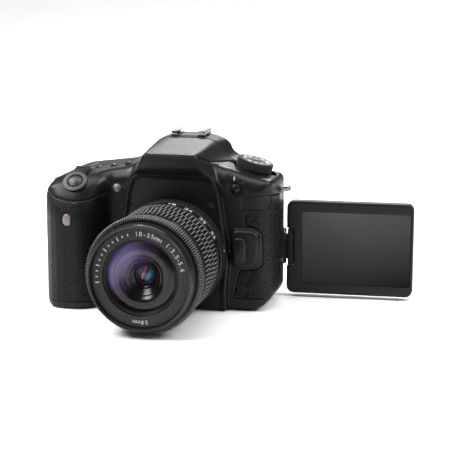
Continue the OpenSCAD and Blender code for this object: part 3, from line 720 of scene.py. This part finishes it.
for sx in (-SCREW_X, SCREW_X):
    solid = cut(solid, g.rod((sx, -36.4, SCREW_Z), FORWARD, 1.9, -1.0, 4, 0.1), 0.2)
solid = cut(solid, g.rod((41.5, -32, 79.3), FORWARD, 0.55, -4, 4, 0.1), 0.2)
hollow = np.maximum(solid, -shell_in)
post = g.rod(dial_at, dial_axis, 15.4, -3.9, 3, 0.1)
floor = all_of(g.rod(dial_at, dial_axis, 15.2, -3.9, -1.8, 0.1), post, whole + 0.6)
hollow = join(hollow, join(floor, g.rod(dial_at, dial_axis, 3.8, -3.9, 2.8, 0.1), 0.3), 0.3)
recess_floor = np.maximum(g.box((-28.5, 9, -1), (59, 10.9, 64), 0.3), whole)
hollow = join(hollow, recess_floor, 0.3)

# The flash head and its bay.
lid = np.maximum(95.6 - np.maximum(wide - 16.3, 0) * 1.02, 91.1 - (y + 38) * 0.104)
bay = all_of((lid - z) * 0.85, y + 0.6, 84.5 - z)
turned = np.sqrt((y + 2.4) ** 2 + (z - 99.4) ** 2) - 1.5
head = all_of(whole, bay + 0.2, y + 0.95, np.minimum(np.minimum(y + 2.4, z - 99.4), turned))
head_hole = g.box((-12.6, -28.5, 90), (12.6, -14.5, 96.9), 0.5)
g.piece("flash_hood", cut(head, head_hole, 0.3), "hood", "flash_head", ["flash_head"])
glow = Grid((-14, -31, 94), (14, -12, 99), 0.3)
glow.piece("flash_diffuser", glow.box((-12.2, -28.1, 95.9), (12.2, -14.9, 96.8), 0.3), "diffuser",
           "flash_head", ["flash_lens"])
closed_bay = all_of(whole, -bay, bay - 2.2, 88 - z, -(y + 60))
shoe_bed = g.box((-11.1, 0.9, 101.4), (11.1, 25, 110), 0.1)
display_zone = g.box((-60, -9, 70), (-34, 10.5, 95), 2.2)
top = all_of(join(hollow, closed_bay, 0.3), -bay, 0.06 - lower, -shoe_bed,
             np.minimum(-display_zone + 0.05, whole + 1.7))
g.piece("top_casing", top, "shell", BODY, ["top_cover"])
g.piece("top_display", edged(np.maximum(whole - 0.12, -whole - 1.6), display_zone, 0.3), "display_top", BODY,
        ())

# The front, rear and floor casings. The rear one carries the ears of the screen's hinge.
under = np.maximum(hollow, lower + 0.06)
middle = -5.95
tray = np.maximum(z - 2.4, plan + 1.9)
front_half = all_of(under, y - middle + 0.05, -tray)
g.piece("front_casing", front_half, "shell", BODY, ["front_shell"])
rear_half = all_of(under, middle + 0.05 - y, -tray)
ears = 99.0
for s in (-1, 1):
    h = PIN[2] + s * 9.8
    ears = np.minimum(ears, g.rod((PIN[0], PIN[1], h), UP, 3.3, -1.4, 1.4, 0.4))
    ears = join(ears, g.box((54.3, 9.5, h - 1.4), (59.9, PIN[1], h + 1.4), 0.3), 0.3)
rear_half = np.maximum(join(rear_half, ears, 0.4), -g.rod(PIN, UP, 1.5, -12, 12, 0.1))
g.piece("rear_casing", rear_half, "shell", BODY, ["rear_shell"])
g.piece("floor_casing", np.maximum(solid, tray + 0.12), "shell", BODY, ["base_plate"])
thumb = edged(np.maximum(whole - 2.2 * ramp(-thumb_zone, -0.2, 4), -whole - 0.7), thumb_zone, 0.5)
g.piece("thumb_pad", thumb, "pebble", BODY, ["thumb_rest"])
battery_lid = np.maximum(g.box((-74.7, -46.7, 0.2), (-52.9, -6.3, 2.2), 0.5), whole)
g.piece("battery_lid", edged(battery_lid, -z, 0.3), "shell", "battery_door", ["battery_door"])

# ---------- Controls ----------

def dome(r, long, rise, edge=0.5):
    """The profile of a button with a crowned top."""
    out = [(r, -long), (r, -edge - rise)]
    out += [(r - edge * (1 - math.cos(a)), -edge - rise + edge * math.sin(a))
            for a in (0.4, 0.8, 1.2, 1.57)]
    inner = r - edge
    out += [(inner * k, -rise * k * k) for k in (0.85, 0.65, 0.45, 0.25, 0.08)]
    return out


for name, (at, axis, r, long) in CAPS.items():
    mat = "dark_metal" if name == "shutter_button" else "button"
    rise = 0.9 if name in ("shutter_button", "flash_button") else 0.35
    raised = 1.2 if name in [row[0] for row in TOP_ROW] else 0
    lathe(name + "_cap", dome(r, long, rise), np.array(at) + raised * np.array(axis), axis, mat, name, [name],
          n=40)

lathe("shutter_bezel", [(4.6, -2.6), (4.7, -1.3), (5.0, -1.0), (5.8, -1.0), (6.8, -1.1), (7.4, -1.25),
      (7.4, -2.2)], SHUTTER_AT, lean, "bezel", BODY, n=56, closed=True)
lathe("focus_lamp", dome(2.6, 5.4, 0.9, 0.4), (-35.8, -34.2, 73.2), FORWARD, "window", BODY, n=36)
lathe("sensor_window", [(3.1, -2.6), (3.1, -0.6), (2.8, -0.25), (2.1, 0), (1.2, 0.1), (0.3, 0.12)],
      (SENSOR_X, -53.3, SENSOR_Z), FORWARD, "window", BODY, n=36,
      shape=lambda a, r, h: r * np.sqrt(0.72 * np.cos(a) ** 2 + 1.5 * np.sin(a) ** 2))


def knurl(count, depth, low, high, least, rows):
    """Crossed ridges round a dial's rim, from height low to high and from radius least."""
    def shape(a, r, h):
        if r < least:
            return np.full(a.shape, float(r))
        k = math.pi * rows * (h - low) / (high - low)
        ridge = np.maximum(np.abs(np.sin(a * count / 2 + k)), np.abs(np.sin(a * count / 2 - k)))
        return r - depth * np.clip((ridge - 0.62) * 3.2, 0, 1)
    return shape


u_d, v_d, w_d = basis(dial_axis)
# The mode dial's lighter ridge lines are painted highlight and wear.
M["knurl"] = rib_material("knurl", (0.012, 0.012, 0.0135), (0.12, 0.12, 0.125), (dial_at, u_d, v_d, w_d),
                          "knurl", DIAL_KNURLS, 3 * math.pi)
rim = [(11.3, 1.6 + 0.2 * i) for i in range(25)]
lathe("mode_dial_body", [(4.6, 2.0), (4.6, 1.2), (10.6, 1.2), (11.0, 1.4)] + rim + [(11.0, 6.55), (10.7, 6.8),
      (10.2, 6.8), (9.9, 6.62), (4.3, 6.62), (4.2, 6.8), (2.9, 6.8), (2.7, 6.6), (2.7, 3.4), (4.0, 3.4)],
      dial_at, dial_axis, "knurl", "mode_dial", ["mode_dial"], n=720, closed=True,
      shape=knurl(DIAL_KNURLS, 0.6, 1.5, 6.5, 11.2, 3))
lathe("mode_dial_button", dome(2.4, 3.2, 0.3, 0.4), dial_at + dial_axis * 7.4, dial_axis, "button",
      "mode_dial_lock", ["mode_dial_lock"], n=40)


def on_dial(angle, radius=7.6, lift=6.66):
    """Puts a flat mark on the mode dial's top: x runs round it and y outwards."""
    c, s = math.cos(angle), math.sin(angle)
    out, along = c * u_d + s * v_d, -s * u_d + c * v_d
    return lambda p: dial_at + out * (radius + p[1]) + along * p[0] + w_d * lift


triangle = ([(-1.3, -1.0), (1.3, -1.0), (0, 1.3)], [[0, 1, 2]])
icons = []
for i in range(12):
    icon = (glyphs(str(i // 4 + 1), 3.2), bar(2.5, 1.9), dot(1.1), triangle)[i % 4]
    icons.append((*icon, on_dial(2 * math.pi * i / 12 + 0.2)))
marks("mode_dial_marks", icons, "ink", "mode_dial")

lathe("power_switch_ring", [(3.95, -1.4), (9.9, -1.4), (10.4, -1.1), (10.4, 0.5), (10.0, 0.9), (3.95, 0.9)],
      dial_at, dial_axis, "dial", "power_switch", n=64, closed=True)
lever_turn = math.radians(75)
across = np.array((math.cos(tilt), 0, -math.sin(tilt)))
back = np.array(REARWARD, float)
lever_x = math.cos(lever_turn) * across + math.sin(lever_turn) * back
lever_y = -math.sin(lever_turn) * across + math.cos(lever_turn) * back
prism("power_switch_lever", [(8.6, -2.1, 0.4), (14.1, -1.5, 1.2), (14.1, 1.5, 1.2), (8.6, 2.1, 0.4)],
      -1.4, 0.85, dial_at, (lever_x, lever_y, dial_axis), "dial", "power_switch", ["power_switch"])


def teeth(count, depth, low, high):
    """Grooves along a rim, where its radius is from low to high."""
    def shape(a, r, h):
        if not low <= r <= high:
            return np.full(a.shape, float(r))
        wave = np.cos(a * count)
        return r - depth * np.clip(0.5 - wave * 1.2, 0, 1)
    return shape


lathe("main_dial_wheel", [(1.55, -4.5), (6.6, -4.5), (7.4, -4.2), (8.2, -3.6), (8.2, 3.6), (7.4, 4.2),
      (6.6, 4.5), (1.55, 4.5)], MAIN_DIAL_AT, RIGHTWARD, "dial", "main_dial", ["main_dial"], n=320, closed=True,
      shape=teeth(40, 0.55, 8.0, 9))
lathe("quick_dial_wheel", [(8.2, 0.1), (16.0, 0), (16.5, 0.4), (16.5, 1.3), (15.9, 1.9), (14.2, 2.0),
      (11.5, 1.3), (8.9, 1.1), (8.2, 0.8)], (QUICK_X, BACK + 0.2, QUICK_Z), REARWARD, "dial", "quick_dial",
      ["quick_dial"], n=360, closed=True, shape=teeth(60, 0.3, 15.8, 17))
lathe("set_button_cap", dome(7.6, 6.4, 0.5, 0.7), (QUICK_X, BACK + 2.6, QUICK_Z), REARWARD, "button",
      "set_button", ["set_button"], n=56)
lathe("stick_cap", [(1.5, 0), (1.5, 6.2), (3.0, 6.2), (3.8, 7.0), (3.85, 7.4), (3.5, 7.85), (2.6, 7.7),
      (1.4, 7.45), (0.2, 7.4)], (STICK_X, 12, STICK_Z), REARWARD, "button", "multi_controller",
      ["multi_controller"], n=160, shape=teeth(24, 0.2, 3.79, 3.9))
lathe("diopter_wheel", [(3.0, -4.6), (3.0, 0), (3.6, 0), (3.9, 0.3), (3.9, 1.9), (3.5, 2.2), (2.4, 2.2),
      (2.2, 2.0), (0.3, 2.0)], DIOPTER_AT, REARWARD, "dial", "diopter_knob", ["diopter_knob"], n=200,
      shape=teeth(28, 0.25, 3.85, 4))
prism("release_key", [(38.6, 31, 2.6), (46.2, 31, 3.4), (46.2, 46.6, 3.4), (38.6, 46.6, 2.6)], 32, 39.4,
      (0, 0, 0), (RIGHTWARD, UP, FORWARD), "button", "lens_release", ["lens_release"], edge=1.2)

# ---------- The finder, the shoe and the screen ----------

def slab(grid, left, right, bottom, top, r):
    """A rounded rectangle, pushed through the grid from front to back."""
    return grid.xz([(left, bottom, r), (right, bottom, r), (right, top, r), (left, top, r)])


e = Grid((-21, 15, 65), (21, 26, 95), 0.45)
cup = np.minimum(edged(slab(e, -15.5, 15.5, 69, 91, 5), np.abs(e.y - 18.5) - 1.2, 0.3),
                 edged(slab(e, -18.5, 18.5, 67.5, 92.5, 8), np.abs(e.y - 21.3) - 2.4, 1.3))
cup = cut(cup, slab(e, -10, 10, 72.7, 87.3, 3), 0.5)
cup = cut(cup, np.maximum(slab(e, -14.5, 14.5, 70.5, 89.5, 5), 20.3 - e.y), 1.2)
e.piece("eyepiece_cup", cup, "leather", BODY, ["eyecup"])

e = Grid((-13, -1, 99.5), (13, 22, 107), 0.3)
shoe = edged(e.box((-11, 1, 101.5), (11, 19.6, 104.8), 0.35), -e.z + 101.5, 0.1)
shoe = np.maximum(shoe, -e.box((-9.4, 2, 102), (9.4, 22, 104.05), 0.15))
shoe = cut(shoe, e.box((-6.3, -3, 102), (6.3, 22, 107), 0.1), 0.4)
shoe = cut(shoe, e.box((-30, -3, 102.9), (30, 2.4, 108), 0.1), 0.5)
e.piece("shoe_rails", np.maximum(shoe, 102.4 - e.z), "steel", BODY, ["hot_shoe"])
e.piece("shoe_plate", np.maximum(shoe, e.z - 102.4), "case", BODY, ())

# The screen, made along x from its hinge pin and then turned to its place.
swing = math.radians(180 - SCREEN_SWING)
arm_turn = np.array([[math.cos(swing), -math.sin(swing), 0], [math.sin(swing), math.cos(swing), 0], UP])
place = (arm_turn, np.array(PIN))
e = Grid((2, -5, -31.5), (84.5, 5, 31.5), 0.45)
frame_2d = slab(e, 3.7, 83.1, -29.6, 29.6, 4.5)
case = edged(frame_2d, np.abs(e.y) - 3.8, 1.3)
case = cut(case, e.box((-3, -7, -12.1), (8.1, 7, 12.1), 0.5), 0.5)
case = np.maximum(case, -e.rod((6, 0, 0), RIGHTWARD, 2.05, 0, 14, 0.1))
window_2d = slab(e, 13.0, 81.6, -23.2, 23.2, 2)
case = cut(case, edged(window_2d, e.y + 2.9, 0.1), 0.45)
case = np.maximum(case, -np.maximum(np.abs(e.y + 0.2) - 0.2, -frame_2d - 0.35))
e.piece("screen_case", case, "shell", "screen_housing", ["screen_housing"], at=place)
glass = edged(window_2d + 0.12, np.abs(e.y + 3.3) - 0.4, 0.15)
e.piece("screen_pane", glass, "display", "screen_housing", ["screen_glass"], at=place)
rim_line = np.maximum(np.abs(window_2d - 0.35) - 0.28, np.abs(e.y + 3.72) - 0.28)
e.piece("screen_rim", rim_line, "case", "screen_housing", (), at=place)
e = Grid((-5, -5, -12.5), (21, 5, 12.5), 0.3)
arm = np.minimum(e.rod((0, 0, 0), UP, 3.3, -8.0, 8.0, 0.5), e.rod((0, 0, 0), UP, 1.25, -10.8, 10.8, 0.2))
arm = join(arm, e.box((0, -2.9, -7.8), (5, 2.9, 7.8), 0.5), 0.5)
arm = join(arm, e.box((4.3, -3.1, -11.7), (7.9, 3.1, 11.7), 0.6), 0.5)
arm = join(arm, e.rod((7, 0, 0), RIGHTWARD, 2.0, 0, 12, 0.2), 0.2)
e.piece("screen_bracket", arm, "shell", "screen_arm", ["screen_arm"], at=place)

# ---------- The lens ----------

def lens(name, profile, mat, body, replaces=(), n=160, shape=None):
    """A turned part of the lens. Its profile is (radius, distance ahead of the flange)."""
    return lathe(name, profile, (0, FLANGE, AXIS_Z), FORWARD, mat, body, replaces, n=n, shape=shape,
                 closed=True)


def bricks(a, r, h):
    """Rows of long ribs, each row half a step round from the last."""
    if not RIB_START <= h <= RIB_END or r < 31:
        return np.full(a.shape, float(r))
    row = int((h - RIB_START) // RIB_ROW)
    wave = np.cos(a * RIB_COUNT + (0 if row % 2 else math.pi))
    return r + 0.6 * np.clip((wave - 0.5) * 3.0, 0, 1)


lens("lens_base", [(24.5, -4.5), (26.7, -4.5), (26.7, 0), (31.6, 0), (33.6, 0.9), (34.2, 1.6), (34.2, 12.3),
     (33.8, 12.9), (30, 12.9), (30, 49.1), (33.0, 49.1), (33.4, 49.5), (33.4, 54.2), (33.0, 54.6), (32.5, 54.6),
     (32.5, 61.6), (31.8, 61.6), (31.8, 50), (28.6, 50), (28.6, 10), (24.5, 10)], "lens_plastic", BODY,
     ["lens_barrel"])
zoom = [(30.2, 13.2), (33.5, 13.2), (33.8, 13.5), (33.8, 18.6), (33.2, 19.2)]
zoom += [(33.0, 20.0 + 0.25 * i) for i in range(109)]
zoom += [(32.6, 47.6), (32.6, 48.5), (32.3, 48.8), (30.2, 48.8)]
lens("zoom_grip", zoom, "lens_rubber", "zoom_ring", ["zoom_ring"], n=RIB_COUNT * 12, shape=bricks)
lens("zoom_band", [(33.3, 13.7), (33.95, 13.9), (33.95, 18.3), (33.3, 18.5)], "gloss", "zoom_ring")
# Thin rings in the lighter bezel grey stand for highlight lines on the lens front: painted highlights.
lens("front_highlight_lines", [(31.2, 65.2), (31.62, 65.3), (31.62, 65.6), (31.2, 65.7)], "bezel", "inner_barrel")
lens("filter_highlight_line", [(29.9, 70.1), (30.25, 70.42), (30.0, 70.55), (29.7, 70.45)], "bezel", "inner_barrel")
lens("focus_grip", [(32.7, 54.9), (33.9, 54.9), (34.0, 55.2), (34.5, 55.5), (34.5, 61.0), (34.0, 61.3),
     (33.9, 61.8), (32.7, 61.8)], "focus_rubber", "focus_ring", ["focus_ring"], n=FOCUS_RIBS * 8,
     shape=teeth(FOCUS_RIBS, 0.6, 34.3, 34.6))
thread = [(29.0 if i % 2 == 0 else 29.2, 70.0 - 0.3 * i) for i in range(7)]
lens("inner_tube", [(26.4, 24), (28.3, 24), (28.3, 50.6), (31.5, 50.6), (31.5, 63.2), (31.3, 63.5),
     (31.3, 64.2), (31.5, 64.5), (31.4, 65.4), (31.0, 66.2), (30.9, 67.8), (30.5, 69.8), (30.2, 70.3),
     (29.8, 70.4), (29.1, 70.2)] + thread + [(29.0, 67.2), (26.4, 67.2), (26.4, 53)], "lens_plastic",
     "inner_barrel", ["inner_barrel"])
lens("name_ring", [(28.9, 66.2), (28.9, 67.2), (28.6, 67.45), (22.6, 67.45), (22.3, 67.2), (22.2, 66.2)],
     "lens_satin", "inner_barrel")
lens("inner_cone", [(22.3, 67.3), (22.1, 66.5), (21.6, 66.2), (21.5, 65.6), (21.0, 65.3), (20.9, 64.6),
     (20.4, 64.3), (20.3, 63.0), (19.6, 62.8), (19.6, 53), (26.5, 53), (26.5, 66.3), (22.3, 66.3)],
     "lens_plastic", "inner_barrel")
lens("bright_highlight_ring", [(21.45, 65.6), (21.75, 66.3), (21.55, 66.5), (21.1, 65.7)], "bezel", "inner_barrel")

# The front glass is one opaque bowl with fine steps in it, and a small second glass sits at its bottom. Their
# colours are painted reflections of the lamps in the coatings.
bowl = [(20.2, 62.9), (20.2, 63.6), (19.4, 64.0), (18.2, 64.45), (16.8, 64.8), (15.4, 64.9), (14.2, 64.75)]
for i in range(17):
    r = 13.6 - i * 0.5
    d = 57.2 + 7.4 * ((r - 5.4) / 8.2) ** 0.75
    bowl += [(r, d - 0.22 if i in (4, 9, 13) else d)]
bowl += [(5.4, 53.0), (20.2, 53.0)]
lens("front_glass", bowl, "coated", "inner_barrel", ["front_element"])
for r, d in ((16.2, 64.85), (12.1, 63.3), (8.6, 60.6)):
    profile = [(r - 0.14, d - 0.3), (r - 0.1, d + 0.12), (r + 0.1, d + 0.16), (r + 0.14, d - 0.2)]
    lens("glass_ring_%d" % r, profile, "lens_satin", "inner_barrel")
lens("inner_collar", [(5.5, 53), (5.6, 56.9), (5.3, 57.3), (4.8, 57.0), (4.5, 56.2), (4.4, 53)], "lens_satin",
     "inner_barrel")
# The small glass's teal and pink colours are painted glints.
lens("small_glass", [(4.6, 53.0), (4.4, 55.4), (3.4, 56.1), (2.2, 56.5), (1.1, 56.7), (0.05, 56.75),
     (0.05, 53.0)], "deep", "inner_barrel")


# ---------- Numerals and index marks ----------

def round_lens(angle, d, r):
    """Wraps a flat mark round the lens, d from the flange: x runs round it and y towards the body."""
    def place(p):
        a = angle + p[0] / r
        return (r * math.sin(a), FLANGE - d + p[1], AXIS_Z + r * math.cos(a))
    return place


def on_ring(angle):
    """Puts a flat mark on the name ring: x runs round it and y outwards."""
    def place(p):
        r, a = NAME_RADIUS + p[1], angle + p[0] / NAME_RADIUS
        return (r * math.sin(a), FLANGE - NAME_DEPTH, AXIS_Z + r * math.cos(a))
    return place


def arc_text(text, middle, size, gap):
    """Text that runs round the name ring, gap radians from one letter to the next."""
    out = []
    for i, ch in enumerate(text):
        a = middle + (i - (len(text) - 1) / 2) * gap
        points, faces = glyphs(ch, size)
        out.append((points, faces, on_ring(a)))
    return out


ring = arc_text("18-55mm", math.radians(12), 3.8, 0.092)
ring += arc_text("1:3.5-5.6", math.radians(58), 3.8, 0.08)
ring += arc_text("58mm", math.radians(180), 3.4, 0.095)
for i in range(12):
    ring.append((*bar(0.6, 2.4 if i % 3 == 0 else 1.3), on_ring(math.radians(-98 + i * 7.5))))
marks("ring_marks", ring, "ink", "inner_barrel")
scale = []
for value, deg in (("18", 8), ("24", 26), ("35", 44), ("55", 62)):
    scale.append((*glyphs(value, 5.4), round_lens(math.radians(deg), 16.0, 34.02)))
marks("zoom_numbers", scale, "ink", "zoom_ring")
marks("zoom_index", [(*bar(3.2, 1.2), round_lens(math.radians(81), 4.2, 34.28))], "ink", BODY)
marks("red_index", [(*dot(0.8), round_lens(math.radians(97), 60.3, 31.56))], "red", "inner_barrel")


def facing(cx, cy, cz, size=1.0):
    """Puts a flat mark on an upright plane of the body's front."""
    return lambda p: (cx + p[0] * size, cy, cz + p[1] * size)


marks("arch_screws", [(*dot(1.6, 20), facing(sx, -35.75, SCREW_Z)) for sx in (-SCREW_X, SCREW_X)], "case", BODY)
marks("screw_slots", [(*bar(w, h), facing(sx, -35.8, SCREW_Z)) for sx in (-SCREW_X, SCREW_X)
                      for w, h in ((1.8, 0.4), (0.4, 1.8))], "lens_plastic", BODY)
BOLT = [(-0.2, 2.3), (0.7, 2.3), (0.3, 0.7), (1.0, 0.7), (-0.4, -2.2), (0.0, -0.1), (-0.7, -0.1)]
marks("flash_sign", [(BOLT, [list(range(len(BOLT)))], facing(37.6, -32.3, 81.3, 0.8))], "ink", BODY)

# ---------- Carried-over parts and the floor ----------

CARRIED = {"tripod_socket": "steel", "strap_lugs": "chrome", "lens_mount": "steel", "mirror_box": "gloss",
           "viewfinder_optics": "optics", "shutter_unit": "dark_metal", "image_sensor": "circuit",
           "battery": "case", "main_mirror": "mirror", "live_view_switch": "dial",
           "focus_mode_switch": "button", "stabilizer_switch": "button"}
for name, mat in CARRIED.items():
    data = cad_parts[name].data
    data.materials.clear()
    data.materials.append(M[mat])

# The floor and the wall behind it, as one curved sheet.
bend = [(-3, 0.0), (1.2, 0.0)] + [(1.2 + 0.9 * math.sin(a), 0.9 - 0.9 * math.cos(a))
                                    for a in np.linspace(0.08, 0.8, 12)]
points = [(s * 6, a, b) for a, b in bend for s in (-1, 1)]
faces = [[2 * i, 2 * i + 1, 2 * i + 3, 2 * i + 2] for i in range(len(bend) - 1)]
data = bpy.data.meshes.new("backdrop")
data.from_pydata(points, [], faces)
data.polygons.foreach_set("use_smooth", [True] * len(data.polygons))
data.materials.append(material("paper", (0.9, 0.9, 0.9), 0.9, vary=0.01, spec=0.1))
backdrop = put("backdrop", data)
